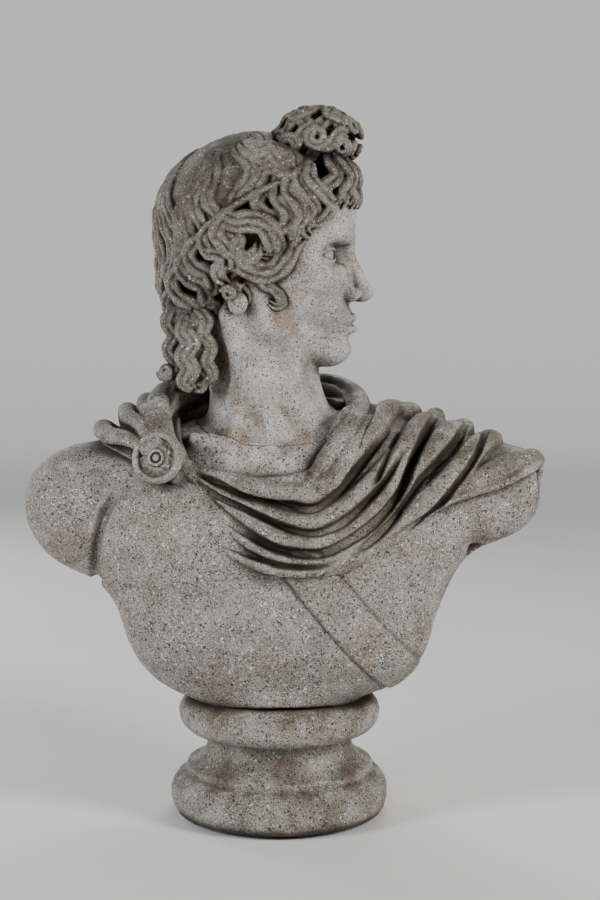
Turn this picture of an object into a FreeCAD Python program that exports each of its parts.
"""A draped classical bust in cast stone on a round moulded socle.

The bust is pieced: torso, head with neck tenon, hair, topknot, two nape locks, cloak and brooch are
separate stones, bedded in mortar or pinned. A stainless tie rod clamps the torso to the socle.

Frame: millimetres, +Z up, origin on the socle's axis at its resting plane. The chest faces -Y, and
the head is turned to the bust's own left, towards +X.
"""

import FreeCAD  # noqa: F401  FreeCAD has to be imported before Part
import Part
import math
import os
from FreeCAD import Matrix, Placement, Rotation, Vector

# Socle: a torus on a scotia on a larger torus
SOCLE_TOP = 142.0
SOCLE_FOOT_R = 106.0
LOWER_TORUS_R = 126.0
LOWER_TORUS_MID = 27.0
LOWER_TORUS_TOP = 50.0
LOWER_TORUS_TOP_R = 115.0
STEP_TOP = 60.0
SCOTIA_R = 83.0
SCOTIA_LOW, SCOTIA_HIGH = 86.0, 96.0
FILLET_R, FILLET_TOP = 88.0, 100.0
UPPER_TORUS_RING_R = 96.0
UPPER_TORUS_SECTION_R = 21.5

# Tie rod and its fixings
ROD_R = 8.0
ROD_LOW, ROD_HIGH = 12.0, 250.0
ROD_HOLE_R = 9.0
RECESS_R, RECESS_ROOF = 35.0, 40.0
WASHER_R, WASHER_T = 28.0, 3.0
NUT_ACROSS_FLATS, NUT_T = 24.0, 13.0
ANCHOR_R, ANCHOR_TOP = 15.0, 265.0
RUN_GAP = 0.05

# Joints between the stones
MORTAR_T = 3.0
TORSO_FOOT = SOCLE_TOP + MORTAR_T
JOINT_R = 78.0
NECK_X, NECK_Y = -8.0, 4.0
TENON_R, TENON_FOOT = 47.0, 376.0
DOWEL_R, DOWEL_LOW, DOWEL_HIGH = 8.0, 320.0, 440.0

# Head: 256 mm from chin to crown, its centre half way between
HEAD_HEIGHT = 256.0
HEAD_CENTRE = Vector(-22.0, 0.0, 652.0)
HEAD_TOWARDS_FRONT = 8.0  # degrees that the face looks forward of +X
HAIR_DEPTH = 14.0
HAIRLINE = ((92.0, 66.0), (-62.0, -78.0))  # forehead and nape ends of the joint: forward, up

# Cloak
CLOAK_T = 16.0
COLLAR_R = 15.0
BROOCH_AT = Vector(-131.0, -98.0, 427.0)
BROOCH_LEAN = Vector(-0.30, -0.92, 0.26)
BROOCH_R, BROOCH_T = 29.0, 13.0
PIN_R = 4.0

# Torso cross-sections, from the end of its right arm to the end of its left arm:
# (x, lowest z, highest z, front y, back y)
TORSO_SECTIONS = [
    (-284, 352, 384, -22, 30),
    (-272, 322, 402, -44, 52),
    (-245, 294, 420, -60, 66),
    (-212, 276, 434, -70, 76),
    (-190, 252, 440, -77, 84),
    (-170, 210, 444, -86, 90),
    (-145, 174, 450, -94, 95),
    (-105, 148, 460, -103, 101),
    (-55, 138, 470, -109, 106),
    (0, 136, 474, -111, 108),
    (55, 140, 474, -110, 107),
    (105, 152, 468, -105, 102),
    (145, 170, 459, -96, 95),
    (170, 214, 453, -87, 88),
    (190, 266, 447, -78, 81),
    (215, 304, 438, -68, 74),
    (250, 322, 425, -60, 66),
    (282, 338, 417, -51, 55),
    (296, 356, 402, -32, 36),
]
SECTION_SQUARENESS = 2.7  # superellipse exponent: 2 is an ellipse, and more is squarer
SHOULDER_LEAN = 26.0  # how far the top of the middle sections lies behind their middle
SECTION_POINTS = 24

# Head cross-sections, from below the chin to the crown: (up, front, back, half width)
HEAD_SECTIONS = [
    (-128, 74, 44, 14),
    (-122, 88, 22, 27),
    (-104, 98, -14, 44),
    (-80, 102, -50, 60),
    (-52, 101, -78, 72),
    (-24, 101, -95, 79),
    (6, 104, -104, 82),
    (40, 106, -107, 82),
    (72, 98, -101, 76),
    (98, 80, -86, 63),
    (114, 57, -63, 47),
    (124, 31, -39, 28),
    (128, 9, -15, 10),
]


def superellipse(half_a, half_b, squareness, n=SECTION_POINTS):
    """Points of a closed superellipse about the origin."""
    points = []
    for i in range(n):
        t = 2 * math.pi * i / n
        c, s = math.cos(t), math.sin(t)
        points.append((
            half_a * math.copysign(abs(c) ** (2 / squareness), c),
            half_b * math.copysign(abs(s) ** (2 / squareness), s),
        ))
    return points


def closed_spline(points):
    curve = Part.BSplineCurve()
    curve.interpolate(Points=points, PeriodicFlag=True)
    return Part.Wire(curve.toShape())


def cylinder(radius, low, high, x=0.0, y=0.0):
    return Part.makeCylinder(radius, high - low, Vector(x, y, low))


def polygon_prism(points_xz, y_low, y_high):
    """A flat polygon seen from the front, as thick as y_low to y_high."""
    corners = [Vector(x, y_low, z) for x, z in points_xz]
    face = Part.Face(Part.makePolygon(corners + corners[:1]))
    return face.extrude(Vector(0, y_high - y_low, 0))


def ellipsoid(centre, radii):
    stretch = Matrix()
    stretch.scale(*radii)
    ball = Part.makeSphere(1.0).transformGeometry(stretch)
    ball.translate(centre)
    return ball


def in_head_frame(shape):
    """Moves a shape from (forward, left, up) about the head's centre to the bust's frame."""
    turned = shape.copy()
    turned.Placement = Placement(HEAD_CENTRE, Rotation(Vector(0, 0, 1), -HEAD_TOWARDS_FRONT))
    return turned


def largest_solid(shape):
    return max(shape.Solids, key=lambda s: s.Volume)


# ---- socle -------------------------------------------------------------------------------------


def make_socle():
    """One turned stone, bored for the tie rod and recessed below for its nut."""
    def at(r, z):
        return Vector(r, 0, z)

    torus_mid = SOCLE_TOP - UPPER_TORUS_SECTION_R
    torus_out = UPPER_TORUS_RING_R + UPPER_TORUS_SECTION_R
    reach = FILLET_TOP - torus_mid
    torus_low_r = UPPER_TORUS_RING_R + math.sqrt(max(UPPER_TORUS_SECTION_R**2 - reach**2, 0.0))
    step_r = LOWER_TORUS_TOP_R - 5
    edges = [
        Part.LineSegment(at(0, 0), at(SOCLE_FOOT_R, 0)),
        Part.Arc(
            at(SOCLE_FOOT_R, 0),
            at(LOWER_TORUS_R, LOWER_TORUS_MID),
            at(LOWER_TORUS_TOP_R, LOWER_TORUS_TOP),
        ),
        Part.LineSegment(at(LOWER_TORUS_TOP_R, LOWER_TORUS_TOP), at(step_r, LOWER_TORUS_TOP)),
        Part.LineSegment(at(step_r, LOWER_TORUS_TOP), at(step_r, STEP_TOP)),
        Part.Arc(
            at(step_r, STEP_TOP),
            at(SCOTIA_R + 7, STEP_TOP + 10),
            at(SCOTIA_R, SCOTIA_LOW),
        ),
        Part.LineSegment(at(SCOTIA_R, SCOTIA_LOW), at(SCOTIA_R, SCOTIA_HIGH)),
        Part.LineSegment(at(SCOTIA_R, SCOTIA_HIGH), at(FILLET_R, SCOTIA_HIGH)),
        Part.LineSegment(at(FILLET_R, SCOTIA_HIGH), at(FILLET_R, FILLET_TOP)),
        Part.LineSegment(at(FILLET_R, FILLET_TOP), at(torus_low_r, FILLET_TOP)),
        Part.Arc(
            at(torus_low_r, FILLET_TOP), at(torus_out, torus_mid), at(UPPER_TORUS_RING_R, SOCLE_TOP)
        ),
        Part.LineSegment(at(UPPER_TORUS_RING_R, SOCLE_TOP), at(0, SOCLE_TOP)),
        Part.LineSegment(at(0, SOCLE_TOP), at(0, 0)),
    ]
    edges = [e for e in edges if e.length() > 0.01]
    outline = Part.Wire([e.toShape() for e in edges])
    body = Part.Face(outline).revolve(Vector(0, 0, 0), Vector(0, 0, 1), 360)
    body = body.cut(cylinder(ROD_HOLE_R, -1, SOCLE_TOP + 1))
    return body.cut(cylinder(RECESS_R, -1, RECESS_ROOF))


def make_socle_mortar():
    bed = cylinder(JOINT_R, SOCLE_TOP, TORSO_FOOT)
    return bed.cut(cylinder(ROD_HOLE_R, SOCLE_TOP - 1, TORSO_FOOT + 1))


# ---- tie rod -----------------------------------------------------------------------------------


def make_tie_rod():
    rod = cylinder(ROD_R, ROD_LOW, ROD_HIGH)
    return rod.makeChamfer(1.2, [e for e in rod.Edges if e.Closed])


def make_washer():
    ring = cylinder(WASHER_R, RECESS_ROOF - WASHER_T, RECESS_ROOF)
    return ring.cut(cylinder(ROD_HOLE_R, 0, SOCLE_TOP))


def make_nut():
    corner_r = NUT_ACROSS_FLATS / 2 / math.cos(math.pi / 6)
    high = RECESS_ROOF - WASHER_T
    low = high - NUT_T
    corners = [
        Vector(corner_r * math.cos(a), corner_r * math.sin(a), low)
        for a in (math.pi / 3 * i for i in range(6))
    ]
    prism = Part.Face(Part.makePolygon(corners + corners[:1])).extrude(Vector(0, 0, NUT_T))
    return prism.cut(cylinder(ROD_R + RUN_GAP, 0, SOCLE_TOP))


def make_anchor_sleeve():
    sleeve = cylinder(ANCHOR_R, TORSO_FOOT, ANCHOR_TOP)
    return sleeve.cut(cylinder(ROD_R + RUN_GAP, 0, ROD_HIGH + 2))


# ---- torso -------------------------------------------------------------------------------------


def torso_loft(grow=0.0):
    """The chest and both arm stumps as one loft from side to side, grown outwards by grow."""
    wires = []
    last = len(TORSO_SECTIONS) - 1
    for i, (x, low, high, front, back) in enumerate(TORSO_SECTIONS):
        station = x + (-grow if i == 0 else grow if i == last else 0)
        middle_y, middle_z = (front + back) / 2, (low + high) / 2
        half_y, half_z = (back - front) / 2 + grow, (high - low) / 2 + grow
        lean = SHOULDER_LEAN * max(0.0, 1 - abs(x) / 240) / half_z
        wires.append(closed_spline([
            Vector(station, middle_y + a + lean * max(b, 0.0), middle_z + b)
            for a, b in superellipse(half_y, half_z, SECTION_SQUARENESS)
        ]))
    return Part.makeLoft(wires, True, False)


def neck_flare():
    """The slope of flesh from the neck to the shoulders, as a bell about the neck's axis."""
    outline = [(0, 400), (112, 400), (96, 436), (74, 452), (60, 478), (0, 478)]
    corners = [Vector(NECK_X + r, NECK_Y, z) for r, z in outline]
    face = Part.Face(Part.makePolygon(corners + corners[:1]))
    return face.revolve(Vector(NECK_X, NECK_Y, 0), Vector(0, 0, 1), 360)


def above_joint():
    return Part.makeBox(800, 500, 500, Vector(-400, -250, TORSO_FOOT))


def make_torso(body):
    """The chest stone, flat below, with a socket for the neck's tenon and a bore for the anchor."""
    socket_r = TENON_R + MORTAR_T
    stone = body.common(above_joint())
    stone = stone.cut(cylinder(socket_r, TENON_FOOT - MORTAR_T, 520, NECK_X, NECK_Y))
    stone = stone.cut(cylinder(ANCHOR_R, 0, ANCHOR_TOP))
    stone = stone.cut(cylinder(DOWEL_R, DOWEL_LOW, DOWEL_HIGH, NECK_X, NECK_Y))
    return largest_solid(stone)


def make_neck_mortar():
    """A cup of mortar round the foot of the tenon."""
    top = 425.0
    cup = cylinder(TENON_R + MORTAR_T, TENON_FOOT - MORTAR_T, top, NECK_X, NECK_Y)
    cup = cup.cut(cylinder(TENON_R, TENON_FOOT, top + 1, NECK_X, NECK_Y))
    return cup.cut(cylinder(DOWEL_R, 300, top, NECK_X, NECK_Y))


def make_neck_dowel():
    return cylinder(DOWEL_R, DOWEL_LOW, DOWEL_HIGH, NECK_X, NECK_Y)


# ---- head and hair -----------------------------------------------------------------------------


def head_loft(grow=0.0):
    """The skull and jaw, lofted upwards in (forward, left, up), grown outwards by grow."""
    half_height = HEAD_HEIGHT / 2
    wires = []
    for up, front, back, half_width in HEAD_SECTIONS:
        level = up * (1 + grow / half_height)
        sideways = grow * math.sqrt(1 - (up / half_height) ** 6)
        half_length = (front - back) / 2 + sideways
        wires.append(closed_spline([
            Vector((front + back) / 2 + a, b, level)
            for a, b in superellipse(half_length, half_width + sideways, 2.2)
        ]))
    return Part.makeLoft(wires, True, False)


def nose():
    """A plain straight nose, as a tapered wedge."""
    foot = Part.makePolygon([
        Vector(x, y, -55 + 0.15 * (x - 92))
        for x, y in ((88, -17), (128, -7), (128, 7), (88, 17), (88, -17))
    ])
    top = Part.makePolygon([
        Vector(x, y, 14) for x, y in ((88, -7), (105, -4), (105, 4), (88, 7), (88, -7))
    ])
    wedge = Part.makeLoft([foot, top], True, True)
    for side in (-1, 1):
        wedge = wedge.fuse(ellipsoid(Vector(106, side * 11, -46), (11, 7, 9)))
    return wedge.fuse(ellipsoid(Vector(120, 0, -46), (11, 10, 10)))


def ear(side):
    """The shell of one ear, lying back against the skull."""
    shell = ellipsoid(Vector(0, 0, 0), (17, 8, 31))
    shell.Placement = Placement(Vector(-8, side * 81, -18), Rotation(Vector(0, 1, 0), -10))
    return shell


def behind_hairline():
    """A block on the hair's side of the joint plane between face and hair."""
    (f0, u0), (f1, u1) = HAIRLINE
    along = Vector(f1 - f0, 0, u1 - u0).normalize()
    out = Vector(along.z, 0, -along.x)
    if out.z < 0:
        out = out * -1
    start = Vector(f0, 0, u0) - along * 150
    side = Vector(0, 150, 0)
    corners = [start - side, start + side]
    corners += [c + along * 560 for c in reversed(corners)]
    face = Part.Face(Part.makePolygon(corners + corners[:1]))
    return face.extrude(out * 320)


def neck():
    """The neck column with its round tenon, in the bust's frame."""
    levels = [(424, 0, 62, 60), (452, -2, 60, 59), (490, -7, 57, 59), (540, -13, 57, 61), (600, -20, 58, 66)]
    wires = [
        closed_spline([Vector(NECK_X + x + a, NECK_Y + b, z) for a, b in superellipse(half_x, half_y, 2)])
        for z, x, half_x, half_y in levels
    ]
    column = Part.makeLoft(wires, True, False)
    return column.fuse(cylinder(TENON_R, TENON_FOOT, 440, NECK_X, NECK_Y))


def make_head(hair_block):
    skull = in_head_frame(head_loft().fuse([nose(), ear(-1), ear(1)]))
    stone = skull.fuse(neck()).cut(hair_block)
    return largest_solid(stone.cut(cylinder(DOWEL_R, 300, DOWEL_HIGH, NECK_X, NECK_Y)))


def make_hair(hair_block):
    return largest_solid(in_head_frame(head_loft(HAIR_DEPTH)).common(hair_block))


def topknot_loops():
    """Two tied loops of hair side by side above the forehead, in the head's own frame."""
    pair = [ellipsoid(Vector(60, side * 26, 126), (46, 32, 36)) for side in (-1, 1)]
    return pair[0].fuse(pair[1])


def make_topknot(hair):
    pin_foot = in_head_frame(Part.makeCylinder(PIN_R, 60, Vector(60, 0, 80)))
    return largest_solid(in_head_frame(topknot_loops()).cut(hair).cut(pin_foot))


def make_topknot_pin():
    return in_head_frame(Part.makeCylinder(PIN_R, 60, Vector(60, 0, 80)))


def nape_lock(side):
    """One corkscrew lock hanging from the nape towards the shoulder, as a tapered spindle."""
    levels = [(-64, -66, 22), (-95, -80, 27), (-125, -83, 26), (-148, -80, 21), (-158, -78, 12)]
    wires = [
        closed_spline([
            Vector(forward + a, side * 46 + b, up) for a, b in superellipse(half, half * 1.1, 2)
        ])
        for up, forward, half in levels
    ]
    return in_head_frame(Part.makeLoft(wires, True, False))


# ---- cloak and brooch --------------------------------------------------------------------------

# Outlines of what the cloak leaves bare, seen from the front: (x, z)
BARE_CHEST = [
    (-360, 520), (-176, 500), (-156, 452), (-140, 404), (-104, 352), (-56, 318), (12, 301),
    (80, 303), (136, 323), (190, 356), (246, 369), (300, 388), (340, 396), (340, 60), (-360, 60),
]
BARE_NECK = [(-102, 560), (-104, 440), (-66, 412), (-20, 398), (30, 402), (60, 436), (76, 560)]
BARE_ARM = [(-360, 560), (-212, 560), (-206, 420), (-194, 60), (-360, 60)]
BARE_ARM_END = [(303, 392), (340, 392), (340, 60), (303, 60)]
NECK_OPENING_R = 74.0

# Rolled folds of the cloak, each from its right shoulder to its left
COLLAR = [
    (-122, -86, 440), (-129, -44, 470), (-116, 22, 484), (-66, 76, 487), (0, 92, 488),
    (58, 77, 490), (88, 26, 484), (84, -40, 472), (66, -82, 436), (46, -104, 408),
]
SHOULDER_PLEATS = [
    [(-146, -78, 440), (-164, -46, 462), (-176, 10, 468), (-180, 60, 450)],
    [(-152, -76, 430), (-184, -50, 448), (-196, 6, 456), (-200, 54, 438)],
]
SWAG_FOLDS = [  # (x, z) on the front of the cloak
    [(-112, 404), (-92, 368), (-50, 335), (13, 317), (80, 319), (134, 340), (184, 372), (226, 388)],
    [(-104, 412), (-64, 376), (-10, 350), (50, 350), (104, 378), (150, 414), (196, 436)],
    [(-98, 422), (-54, 396), (-4, 378), (44, 384), (84, 414), (116, 448), (130, 468)],
]
SWAG_FOLD_R = 11.0


def roll(points, radius):
    """A round fold with its middle along the points."""
    path = Part.BSplineCurve()
    path.interpolate([Vector(*p) for p in points])
    ring = Part.Circle(Vector(*points[0]), path.tangent(path.FirstParameter)[0], radius)
    solid = Part.Wire(path.toShape()).makePipeShell([Part.Wire(ring.toShape())], True, False)
    return largest_solid(solid) if solid.Solids else solid


def swag_fold(points, cloth):
    """A fold lying on the front of the cloth."""
    lying = []
    for x, z in points:
        inside = cloth.common(Part.makeLine(Vector(x, -300, z), Vector(x, 0, z)))
        lying.append((x, inside.BoundBox.YMin, z))
    return roll(lying, SWAG_FOLD_R)


def brooch_placement():
    return Placement(BROOCH_AT, Rotation(Vector(0, 0, 1), BROOCH_LEAN))


def make_brooch():
    """A round clasp: a rolled rim, a sunk field and a ring round a small boss."""
    outline = [
        (0, 0), (BROOCH_R - 2, 0), (BROOCH_R, 3), (BROOCH_R, 9), (BROOCH_R - 2.5, BROOCH_T - 1),
        (BROOCH_R - 5, BROOCH_T - 1), (BROOCH_R - 7, 9), (10, 10.5), (8, 12.5), (6, 12.5),
        (5, 10.5), (3.5, 12), (0, BROOCH_T),
    ]
    corners = [Vector(r, 0, h) for r, h in outline]
    disc = Part.Face(Part.makePolygon(corners + corners[:1])).revolve(
        Vector(0, 0, 0), Vector(0, 0, 1), 360
    )
    disc.Placement = brooch_placement()
    return disc


def make_brooch_pin():
    """The shank behind the brooch, through the cloak into the torso."""
    pin = Part.makeCylinder(PIN_R, 46, Vector(0, 0, -46))
    pin.Placement = brooch_placement()
    return pin


def make_cloak(body, pin):
    """The cloak as a shell on the torso with rolled folds, open at the neck, chest and arm."""
    cloth = torso_loft(CLOAK_T)
    shell = cloth.cut(body).common(above_joint())
    shell = shell.cut(polygon_prism(BARE_CHEST, -250, 30))
    shell = shell.cut(polygon_prism(BARE_NECK, -250, 0))
    shell = shell.cut(cylinder(NECK_OPENING_R, 300, 600, NECK_X, NECK_Y))
    shell = shell.cut(polygon_prism(BARE_ARM, -250, 250))
    shell = largest_solid(shell.cut(polygon_prism(BARE_ARM_END, -250, 250)))
    folds = [roll(COLLAR, COLLAR_R)]
    folds += [roll(pleat, COLLAR_R) for pleat in SHOULDER_PLEATS]
    folds += [swag_fold(fold, cloth) for fold in SWAG_FOLDS]
    folds.append(ellipsoid(BROOCH_AT + Vector(4, 18, -2), (30, 20, 30)))
    for fold in folds:
        shell = shell.fuse(fold)
    return largest_solid(shell.cut(body).cut(neck()).cut(pin))


def main():
    os.makedirs("parts", exist_ok=True)
    hair_block = in_head_frame(behind_hairline())
    body = torso_loft().fuse(neck_flare()).cut(neck())
    pin = make_brooch_pin()
    hair = make_hair(hair_block)
    brooch = make_brooch()
    cloak = make_cloak(body, pin).cut(brooch)
    parts = {
        "socle": make_socle(),
        "socle_joint_mortar": make_socle_mortar(),
        "tie_rod": make_tie_rod(),
        "rod_washer": make_washer(),
        "rod_nut": make_nut(),
        "rod_anchor_sleeve": make_anchor_sleeve(),
        "torso": make_torso(body).cut(pin),
        "neck_joint_mortar": make_neck_mortar(),
        "neck_dowel": make_neck_dowel(),
        "head": make_head(hair_block),
        "hair": hair,
        "topknot": make_topknot(hair),
        "topknot_pin": make_topknot_pin(),
        "cloak": cloak,
        "brooch": brooch,
        "brooch_pin": pin,
    }
    for name, side in (("nape_lock_near", -1), ("nape_lock_far", 1)):
        parts[name] = largest_solid(nape_lock(side).cut(hair).cut(cloak).cut(body))
    for name, shape in parts.items():
        shape.exportStep(os.path.join("parts", name + ".step"))
        box = shape.BoundBox
        print(
            name, "solids", len(shape.Solids), "valid", shape.isValid(),
            "litres %.3f" % (shape.Volume / 1e6),
            "x %.0f..%.0f y %.0f..%.0f z %.0f..%.0f"
            % (box.XMin, box.XMax, box.YMin, box.YMax, box.ZMin, box.ZMax),
        )


main()
